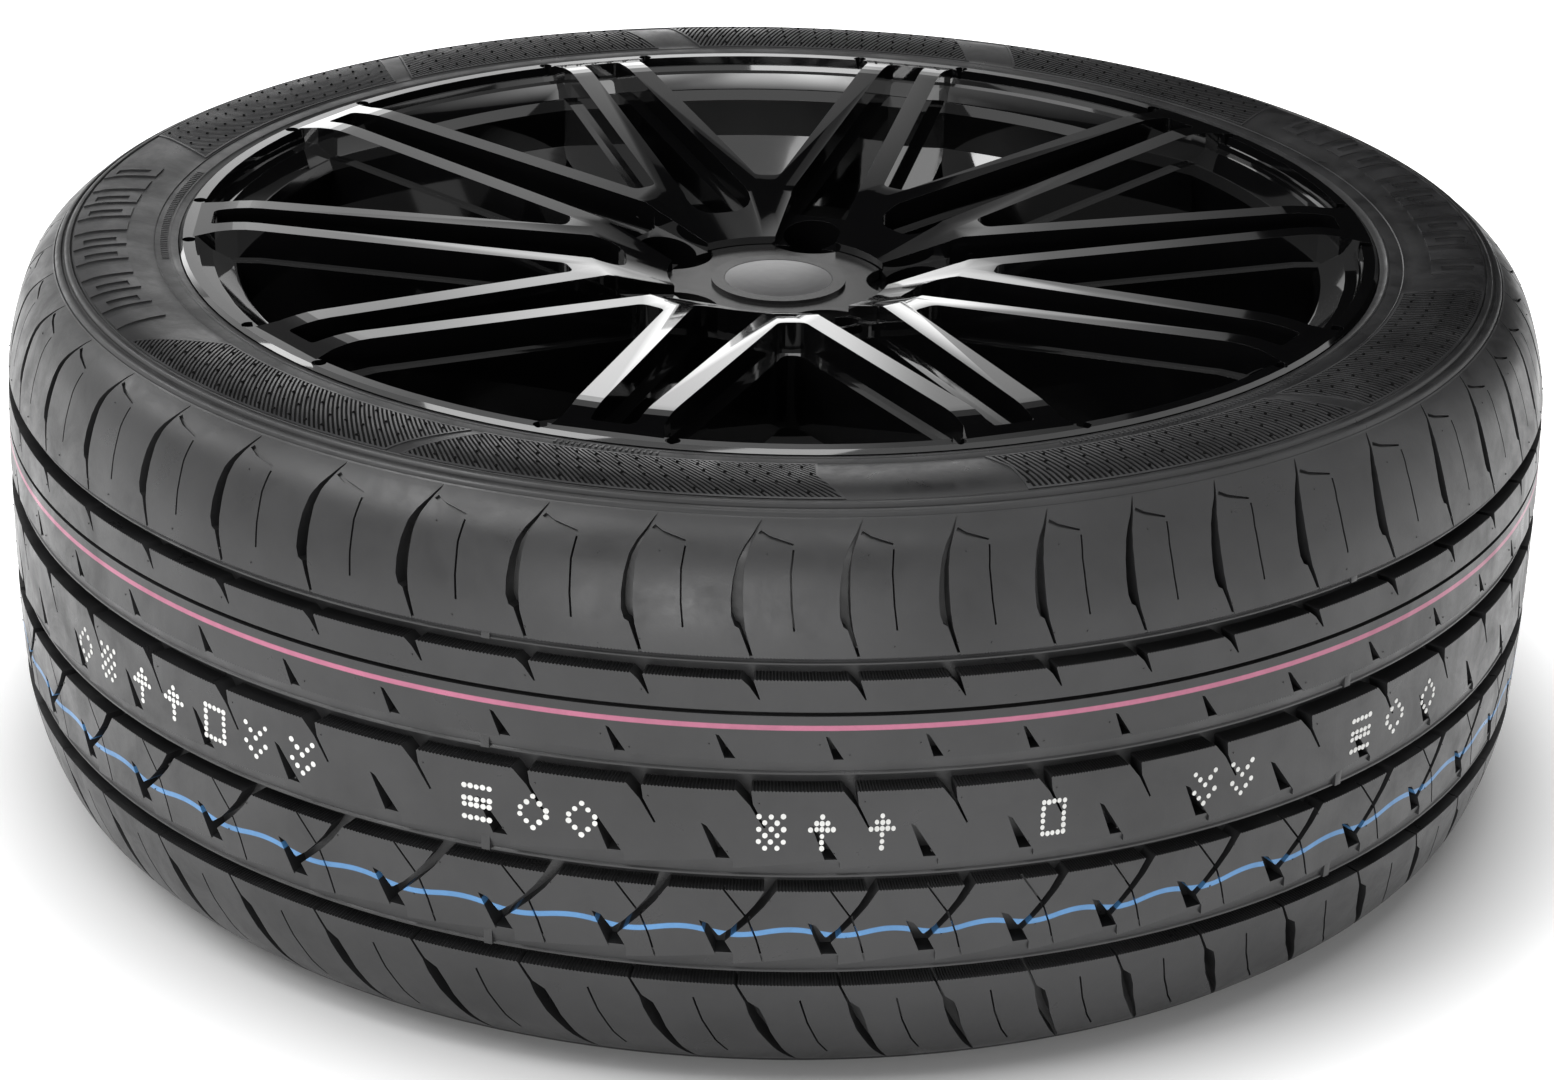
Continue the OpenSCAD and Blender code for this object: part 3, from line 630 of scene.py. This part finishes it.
def buildNubs():
    parts = []
    deselectAll()
    bpy.ops.mesh.primitive_cone_add(vertices=7, radius1=nubs["size"], radius2=nubs["size"] * 0.5, depth=1)
    nub = bpy.context.object
    shape = coordsOf(nub)
    shape[:, 2] = np.where(shape[:, 2] > 0, nubs["height"], -0.3)
    random.seed(11)
    for pitch in range(len(pitchStarts)):
        for x, y in nubs["spots"]:
            if random.random() < 0.25:
                continue
            co = shape + (x + random.uniform(-0.6, 0.6), y + random.uniform(-0.5, 0.5), 0)
            copy = copyOf(nub, (0, 0, 0))
            setCoords(copy, onTread(co, pitch))
            parts.append(copy)
    bpy.data.meshes.remove(nub.data)
    # wear bars across the bevels, at the same places in each groove
    for place in nubs["padAngles"]:
        pitch, along = pitchAt(math.radians(place))
        for top, width in zip(tyre["grooveTops"], tyre["bevelWidths"]):
            pad = slab("pad", [(along, top + 0.4), (along + nubs["padLength"], top + 0.4),
                               (along + nubs["padLength"], top - width), (along, top - width)], -0.9, -7.9)
            pick(pad)
            step = pad.modifiers.new("round", 'BEVEL')
            step.width, step.segments = 0.3, 2
            bpy.ops.object.modifier_apply(modifier=step.name)
            setCoords(pad, onTread(coordsOf(pad), pitch))
            parts.append(pad)
    piece = joined("treadNubs", parts)
    tidyMesh(piece, 0.000001, 30)
    print("treadNubs", len(piece.data.polygons), "faces")
    return piece


wheel = {"mergeGap": 0.00002, "flatAngle": 1.2, "edge": 0.9, "edgeAngle": 24, "steps": 2}


def buildWheel():
    # the wheel's own form with its edges rounded off, so that they catch the light
    node = bpy.data.objects["wheel"]
    ob = bpy.data.objects.new("wheelFace", node.data.copy())
    bpy.context.collection.objects.link(ob)
    ob.data.transform(node.matrix_world)
    editAll(ob)
    bpy.ops.mesh.customdata_custom_splitnormals_clear()
    bpy.ops.mesh.remove_doubles(threshold=wheel["mergeGap"])
    bpy.ops.mesh.dissolve_limited(angle_limit=math.radians(wheel["flatAngle"]))
    bpy.ops.mesh.normals_make_consistent(inside=False)
    backToObject()
    pick(ob)
    step = ob.modifiers.new("edges", 'BEVEL')
    step.width, step.segments = wheel["edge"] * mm, wheel["steps"]
    step.limit_method = 'ANGLE'
    step.angle_limit = math.radians(wheel["edgeAngle"])
    step.harden_normals = True
    bpy.ops.object.modifier_apply(modifier=step.name)
    print("wheelFace", len(ob.data.polygons), "faces")
    return ob


wheelFace = buildWheel()
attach(wheelFace, "root")
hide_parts("wheel")
tyreShell = buildTyreShell()
outerShoulder = buildShoulder("outerShoulder", 1)
upperRib = buildUpperRib()
middleRib = buildMiddleRib()
lowerRib = buildLowerRib()
innerShoulder = buildShoulder("innerShoulder", -1)
panelEdges, panelLines, panelDots, panelFloors = buildPanels()
sidewallBars = buildBars()
printedDots = buildPrintedDots()
treadNubs = buildNubs()
tyrePieces = [tyreShell, outerShoulder, upperRib, middleRib, lowerRib, innerShoulder, panelEdges, panelLines,
              panelDots, panelFloors, sidewallBars, printedDots, treadNubs]
for piece in tyrePieces:
    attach(piece, "root")
    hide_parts("tyre")


# materials
def newMaterial(name):
    material = bpy.data.materials.new(name)
    material.use_nodes = True
    nodes = material.node_tree.nodes
    return material, nodes, material.node_tree.links, nodes["Principled BSDF"]


def mathNode(nodes, links, operation, first, *others):
    # sources can be sockets, and those after the first also plain numbers
    node = nodes.new('ShaderNodeMath')
    node.operation = operation
    links.new(first, node.inputs[0])
    for socket, value in zip(list(node.inputs)[1:], others):
        if isinstance(value, bpy.types.NodeSocket):
            links.new(value, socket)
        else:
            socket.default_value = value
    return node.outputs[0]


def makeGrainGroup():
    # uneven surface: a cloud for the colour, a cloud for the gloss, and a fine bump
    group = bpy.data.node_groups.new("surfaceGrain", 'ShaderNodeTree')
    face = group.interface
    for name, kind, value in (("Cloud Size", 'NodeSocketFloat', 12), ("Grain Size", 'NodeSocketFloat', 900),
                              ("Bump", 'NodeSocketFloat', 0.1)):
        socket = face.new_socket(name, in_out='INPUT', socket_type=kind)
        socket.default_value = value
    face.new_socket("Cloud", in_out='OUTPUT', socket_type='NodeSocketFloat')
    face.new_socket("Wear", in_out='OUTPUT', socket_type='NodeSocketFloat')
    face.new_socket("Normal", in_out='OUTPUT', socket_type='NodeSocketVector')
    nodes, links = group.nodes, group.links
    start, end = nodes.new('NodeGroupInput'), nodes.new('NodeGroupOutput')
    where = nodes.new('ShaderNodeTexCoord')
    cloud = nodes.new('ShaderNodeTexNoise')
    cloud.inputs["Detail"].default_value = 6
    cloud.inputs["Roughness"].default_value = 0.62
    wear = nodes.new('ShaderNodeTexNoise')
    wear.inputs["Detail"].default_value = 8
    wear.inputs["Roughness"].default_value = 0.7
    wear.inputs["Distortion"].default_value = 0.4
    grain = nodes.new('ShaderNodeTexNoise')
    grain.inputs["Detail"].default_value = 3
    bump = nodes.new('ShaderNodeBump')
    bump.inputs["Distance"].default_value = 0.0002
    for texture in (cloud, wear, grain):
        links.new(where.outputs["Object"], texture.inputs["Vector"])
    links.new(start.outputs["Cloud Size"], cloud.inputs["Scale"])
    links.new(mathNode(nodes, links, 'MULTIPLY', start.outputs["Cloud Size"], 4.3), wear.inputs["Scale"])
    links.new(start.outputs["Grain Size"], grain.inputs["Scale"])
    links.new(start.outputs["Bump"], bump.inputs["Strength"])
    links.new(grain.outputs["Fac"], bump.inputs["Height"])
    links.new(cloud.outputs["Fac"], end.inputs["Cloud"])
    links.new(wear.outputs["Fac"], end.inputs["Wear"])
    links.new(bump.outputs["Normal"], end.inputs["Normal"])
    return group


grainGroup = makeGrainGroup()


def addGrain(nodes, cloudSize, grainSize, bump):
    node = nodes.new('ShaderNodeGroup')
    node.node_tree = grainGroup
    node.inputs["Cloud Size"].default_value = cloudSize
    node.inputs["Grain Size"].default_value = grainSize
    node.inputs["Bump"].default_value = bump
    return node


def rangeNode(nodes, links, source, low, high, toLow, toHigh):
    node = nodes.new('ShaderNodeMapRange')
    node.inputs["From Min"].default_value = low
    node.inputs["From Max"].default_value = high
    node.inputs["To Min"].default_value = toLow
    node.inputs["To Max"].default_value = toHigh
    links.new(source, node.inputs["Value"])
    return node.outputs["Result"]


def blend(nodes, links, factor, first, second):
    # mixes two colours; each is a socket or a plain colour
    node = nodes.new('ShaderNodeMix')
    node.data_type = 'RGBA'
    for socket, value in ((node.inputs[0], factor), (node.inputs[6], first), (node.inputs[7], second)):
        if isinstance(value, bpy.types.NodeSocket):
            links.new(value, socket)
        else:
            socket.default_value = value
    return node.outputs[2]


rubber = {
    "dark": (0.011, 0.011, 0.0115, 1), "pale": (0.027, 0.027, 0.028, 1), "gloss": (0.27, 0.50),
    "cloudSize": 9, "grainSize": 1100, "bump": 0.12,
    "pink": (0.50, 0.14, 0.24, 1), "blue": (0.09, 0.27, 0.55, 1), "pinkHalf": 0.0095, "blueHalf": 0.0105,
    "pinkAt": 0.382, "blueAt": -0.427, "blueArch": 0.012, "blueTurn": -0.6, "softEdge": 0.0015,
}


def makeRubber(name, line=None, lift=1.0):
    material, nodes, links, shader = newMaterial(name)
    grain = addGrain(nodes, rubber["cloudSize"], rubber["grainSize"], rubber["bump"])
    cloud = rangeNode(nodes, links, grain.outputs["Cloud"], 0.35, 0.65, 0, 1)
    # lift scales the rubber's colour; a lift above 1 is a painted highlight
    dark = [c * lift for c in rubber["dark"][:3]] + [1]
    pale = [c * lift for c in rubber["pale"][:3]] + [1]
    colour = blend(nodes, links, cloud, dark, pale)
    gloss = rangeNode(nodes, links, grain.outputs["Wear"], 0.35, 0.65, *rubber["gloss"])
    if line:
        # a coloured line printed round the rib, a little worn
        where = nodes.new('ShaderNodeUVMap')
        where.uv_map = "pattern"
        apart = nodes.new('ShaderNodeSeparateXYZ')
        links.new(where.outputs["UV"], apart.inputs[0])
        height = apart.outputs["Y"]
        if line == "blue":
            # the line bows once in each pitch
            turn = mathNode(nodes, links, 'MULTIPLY_ADD', apart.outputs["X"], 2 * math.pi, rubber["blueTurn"])
            wave = mathNode(nodes, links, 'SINE', turn)
            height = mathNode(nodes, links, 'MULTIPLY_ADD', wave, rubber["blueArch"], height)
        away = mathNode(nodes, links, 'SUBTRACT', height, rubber[line + "At"])
        size = mathNode(nodes, links, 'ABSOLUTE', away)
        half, soft = rubber[line + "Half"], rubber["softEdge"]
        inside = rangeNode(nodes, links, size, half - soft, half + soft, 1, 0)
        worn = rangeNode(nodes, links, grain.outputs["Wear"], 0.30, 0.62, 1, 0.72)
        cover = mathNode(nodes, links, 'MULTIPLY', inside, worn)
        colour = blend(nodes, links, cover, colour, rubber[line])
    links.new(colour, shader.inputs["Base Color"])
    links.new(gloss, shader.inputs["Roughness"])
    links.new(grain.outputs["Normal"], shader.inputs["Normal"])
    return material


def makePlain(name, dark, pale, gloss, metallic=0.0, coat=0.0, bump=0.03, specular=0.5):
    material, nodes, links, shader = newMaterial(name)
    grain = addGrain(nodes, 20, 900, bump)
    cloud = rangeNode(nodes, links, grain.outputs["Cloud"], 0.35, 0.65, 0, 1)
    links.new(blend(nodes, links, cloud, dark, pale), shader.inputs["Base Color"])
    links.new(rangeNode(nodes, links, grain.outputs["Wear"], 0.35, 0.65, *gloss), shader.inputs["Roughness"])
    links.new(grain.outputs["Normal"], shader.inputs["Normal"])
    shader.inputs["Metallic"].default_value = metallic
    shader.inputs["Specular IOR Level"].default_value = specular
    shader.inputs["Coat Weight"].default_value = coat
    shader.inputs["Coat Roughness"].default_value = 0.03
    return material


rubberPlain = makeRubber("rubber")
rubberPink = makeRubber("rubberPinkLine", "pink")
rubberBlue = makeRubber("rubberBlueLine", "blue")
# painted highlight: a lighter copy of the rubber for the raised sidewall marks
rubberRelief = makeRubber("rubberRelief", lift=1.7)
# painted shade: a darker copy of the rubber with little sheen, for the panels' low floors and the pips
rubberDeep = makePlain("rubberDeep", (0.002, 0.002, 0.002, 1), (0.004, 0.004, 0.004, 1), (0.75, 0.9),
                       specular=0.12)
printWhite = makePlain("printedWhite", (0.62, 0.62, 0.60, 1), (0.80, 0.80, 0.78, 1), (0.5, 0.7))
glossBlack = makePlain("glossBlack", (0.0035, 0.0035, 0.0038, 1), (0.0045, 0.0045, 0.0048, 1), (0.05, 0.08),
                       coat=0.7, bump=0.0)
capBlack = makePlain("capBlack", (0.010, 0.010, 0.010, 1), (0.014, 0.014, 0.014, 1), (0.2, 0.26), bump=0.01)
inlayGrey = makePlain("inlayGrey", (0.05, 0.05, 0.052, 1), (0.06, 0.06, 0.062, 1), (0.28, 0.34), coat=0.6)
springSteel = makePlain("springSteel", (0.35, 0.34, 0.33, 1), (0.45, 0.44, 0.42, 1), (0.25, 0.35),
                        metallic=1.0)
valveRubber = makePlain("valveRubber", (0.012, 0.012, 0.012, 1), (0.02, 0.02, 0.02, 1), (0.45, 0.55),
                        bump=0.08)
valveBrass = makePlain("valveBrass", (0.52, 0.40, 0.20, 1), (0.60, 0.47, 0.25, 1), (0.22, 0.32), metallic=1.0)
valvePlastic = makePlain("valvePlastic", (0.012, 0.012, 0.012, 1), (0.018, 0.018, 0.018, 1), (0.35, 0.45))


def dress(ob, material):
    ob.data.materials.clear()
    ob.data.materials.append(material)


for piece in tyrePieces:
    dress(piece, rubberPlain)
dress(upperRib, rubberPink)
dress(lowerRib, rubberBlue)
dress(printedDots, printWhite)
# the panel floors and the pips get the darker rubber, painted shade
for piece in (panelFloors, panelDots):
    dress(piece, rubberDeep)
# the raised panel lines, panel edges and bars get the lighter rubber, a painted highlight
for piece in (panelLines, panelEdges, sidewallBars):
    dress(piece, rubberRelief)
dress(wheelFace, glossBlack)
for name, material in (("wheel", glossBlack), ("cap_body", capBlack), ("cap_inlay", inlayGrey),
                       ("cap_ring", springSteel), ("valve_stem", valveRubber), ("valve_tube", valveBrass),
                       ("valve_core", valveBrass), ("valve_cap", valvePlastic)):
    node = bpy.data.objects[name]
    for slot in node.material_slots:
        slot.material = material
print("materials made")


# studio
studio = {
    # the floor's emission is painted light round the wheel and painted shadow near and under it
    "ambient": 0.12, "floorSize": 12, "floorColour": 0.80, "floorPaintedLight": 1.15, "floorPaintedShadow": 0.06,
    "paintedShadowTo": 0.30, "paintedLightFrom": 0.40,
    "aim": (0, 0, 0.1),
    "keyPlace": (-2.0, -1.0, 2.6), "keySize": (1.5, 1.5), "keyPower": 34,
    "fillPlace": (-0.5, -3.0, 0.55), "fillSize": (1.8, 0.6), "fillPower": 24,
    "topPlace": (-0.5, -0.9, 2.6), "topSize": (3.2, 0.35), "topPower": 14,
    "sidePlace": (-2.3, 0.7, 1.6), "sideSize": (1.6, 0.3), "sidePower": 8,
    "glowLow": 0.35, "glowHigh": 1.6, "glowStrength": 2.9, "topGlow": 9, "leftGlow": 2.6,
    # how the light of each panel changes from left to right, in metres
    "glowBands": [(-1.6, 0.1), (-1.15, 0.35), (-0.85, 0.3), (-0.55, 0.9), (-0.33, 0.6), (-0.12, 0.85),
                  (0.02, 0.8), (0.16, 0.3), (0.4, 0.1)],
    "topBands": [(-1.6, 0.02), (-0.5, 0.1), (-0.12, 1.0), (0.1, 0.7), (0.3, 0.25), (0.6, 0.5), (1.6, 0.05)],
    "leftBands": [(-3.2, 0.6), (-1.9, 1.0), (-1.0, 0.2)],
}


def stageCard(name, corners, material):
    ob = drawLine(name, corners, filled=True)
    backToObject()
    dress(ob, material)
    ob.visible_camera = False
    ob.visible_shadow = False
    return ob


def makeCardBlack():
    material, nodes, links, shader = newMaterial("cardBlack")
    shader.inputs["Base Color"].default_value = (0.004, 0.004, 0.004, 1)
    shader.inputs["Roughness"].default_value = 1
    shader.inputs["Specular IOR Level"].default_value = 0
    return material


def makeCardGlow(name, low, high, bottom, top, bands):
    # light that fades upwards, in soft bands from left to right
    material, nodes, links, shader = newMaterial(name)
    shader.inputs["Base Color"].default_value = (0, 0, 0, 1)
    where = nodes.new('ShaderNodeTexCoord')
    apart = nodes.new('ShaderNodeSeparateXYZ')
    links.new(where.outputs["Object"], apart.inputs[0])
    fade = rangeNode(nodes, links, apart.outputs["Z"], low, high, bottom, top)
    fade.node.interpolation_type = 'SMOOTHSTEP'
    share = rangeNode(nodes, links, apart.outputs["X"], bands[0][0], bands[-1][0], 0, 1)
    ramp = nodes.new('ShaderNodeValToRGB')
    ramp.color_ramp.interpolation = 'EASE'
    stops = ramp.color_ramp.elements
    while len(stops) < len(bands):
        stops.new(0.5)
    for stop, (x, level) in zip(stops, bands):
        stop.position = (x - bands[0][0]) / (bands[-1][0] - bands[0][0])
    for stop, (x, level) in zip(stops, bands):
        stop.color = (level, level, level, 1)
    links.new(share, ramp.inputs["Fac"])
    links.new(ramp.outputs["Color"], shader.inputs["Emission Color"])
    links.new(fade, shader.inputs["Emission Strength"])
    return material


def addLight(name, place, aim, size, power):
    bpy.ops.object.light_add(type='AREA', location=place)
    light = bpy.context.object
    light.name = light.data.name = name
    light.data.shape = 'RECTANGLE'
    light.data.size, light.data.size_y = size
    light.data.energy = power
    light.rotation_euler = (Vector(aim) - Vector(place)).to_track_quat('-Z', 'Y').to_euler()
    return light


deselectAll()
bpy.ops.mesh.primitive_plane_add(size=studio["floorSize"], location=(0, 0, 0))
floor = bpy.context.object
floor.name = floor.data.name = "floor"
floorMaterial, nodes, links, shader = newMaterial("paleFloor")
shader.inputs["Base Color"].default_value = (studio["floorColour"],) * 3 + (1,)
shader.inputs["Roughness"].default_value = 0.6
shader.inputs["Specular IOR Level"].default_value = 0.1
shader.inputs["Emission Color"].default_value = (1, 1, 1, 1)
# painted light: the floor's emission glows round the wheel and lights the tyre from below; it fades to
# painted shadow near the wheel and stays dim under it
where = nodes.new('ShaderNodeTexCoord')
reach = nodes.new('ShaderNodeVectorMath')
reach.operation = 'LENGTH'
links.new(where.outputs["Object"], reach.inputs[0])
glow = rangeNode(nodes, links, reach.outputs["Value"], studio["paintedShadowTo"], studio["paintedLightFrom"],
                 studio["floorPaintedShadow"], studio["floorPaintedLight"])
links.new(glow, shader.inputs["Emission Strength"])
dress(floor, floorMaterial)

cardBlack = makeCardBlack()
cardGlow = makeCardGlow("cardGlow", studio["glowLow"], studio["glowHigh"], studio["glowStrength"], 0.05,
                        studio["glowBands"])
cardTop = makeCardGlow("cardTop", 2.9, 4.3, 0.1, studio["topGlow"], studio["topBands"])
cardLeft = makeCardGlow("cardLeft", 0.3, 1.0, studio["leftGlow"], 0.5, studio["leftBands"])
stageCard("leftCard", [(-3.0, 1.8, 0.3), (-1.1, 2.3, 0.3), (-1.1, 2.3, 1.0), (-3.0, 1.8, 1.0)], cardLeft)
stageCard("glowCard", [(-1.6, 2.4, 0.35), (0.4, 2.4, 0.35), (0.4, 2.4, 1.8), (-1.6, 2.4, 1.8)], cardGlow)
stageCard("darkRight", [(0.4, 2.45, 0.02), (3.2, 2.2, 0.02), (3.2, 2.2, 4), (0.4, 2.45, 4)], cardBlack)
stageCard("darkAbove", [(-3, 2.5, 1.8), (0.4, 2.5, 1.8), (0.4, 2.2, 3.0), (-3, 2.2, 3.0)], cardBlack)
stageCard("topCard", [(-1.6, 2.2, 3.0), (1.6, 2.2, 3.0), (1.6, 0.9, 4.3), (-1.6, 0.9, 4.3)], cardTop)

for name, kind in (("keyLight", "key"), ("fillLight", "fill"), ("topStrip", "top"), ("sideStrip", "side")):
    addLight(name, studio[kind + "Place"], studio["aim"], studio[kind + "Size"], studio[kind + "Power"])

world = bpy.data.worlds.new("studioWorld")
bpy.context.scene.world = world
world.use_nodes = True
nodes, links = world.node_tree.nodes, world.node_tree.links
seen = nodes["Background"]
seen.inputs["Color"].default_value = (1, 1, 1, 1)
seen.inputs["Strength"].default_value = 1
dim = nodes.new('ShaderNodeBackground')
dim.inputs["Color"].default_value = (1, 1, 1, 1)
dim.inputs["Strength"].default_value = studio["ambient"]
path = nodes.new('ShaderNodeLightPath')
either = mathNode(nodes, links, 'MAXIMUM', path.outputs["Is Camera Ray"], path.outputs["Is Glossy Ray"])
mix = nodes.new('ShaderNodeMixShader')
links.new(mathNode(nodes, links, 'MAXIMUM', either, path.outputs["Is Transmission Ray"]), mix.inputs[0])
links.new(dim.outputs[0], mix.inputs[1])
links.new(seen.outputs[0], mix.inputs[2])
links.new(mix.outputs[0], nodes["World Output"].inputs["Surface"])

# camera, placed as the photograph was taken
view = {"place": (0, -1.4317, 0.7193), "lens": 84.3, "turn": 0.088, "down": 24.04, "roll": 1.48}
turn, down, roll = (math.radians(view[k]) for k in ("turn", "down", "roll"))
ahead = Vector((math.sin(turn) * math.cos(down), math.cos(turn) * math.cos(down), -math.sin(down)))
right = Vector((math.cos(turn), -math.sin(turn), 0))
up = right.cross(ahead)
rollRight = right * math.cos(roll) + up * math.sin(roll)
rollUp = up * math.cos(roll) - right * math.sin(roll)
bpy.ops.object.camera_add(location=view["place"])
camera = bpy.context.object
camera.name = camera.data.name = "photoCamera"
camera.data.lens = view["lens"]
camera.data.sensor_width = 36
camera.data.clip_end = 50
turned = Matrix((rollRight, rollUp, -ahead)).transposed()
camera.rotation_euler = turned.to_euler()
bpy.context.scene.camera = camera
bpy.context.scene.view_settings.view_transform = 'Standard'
print("studio made")
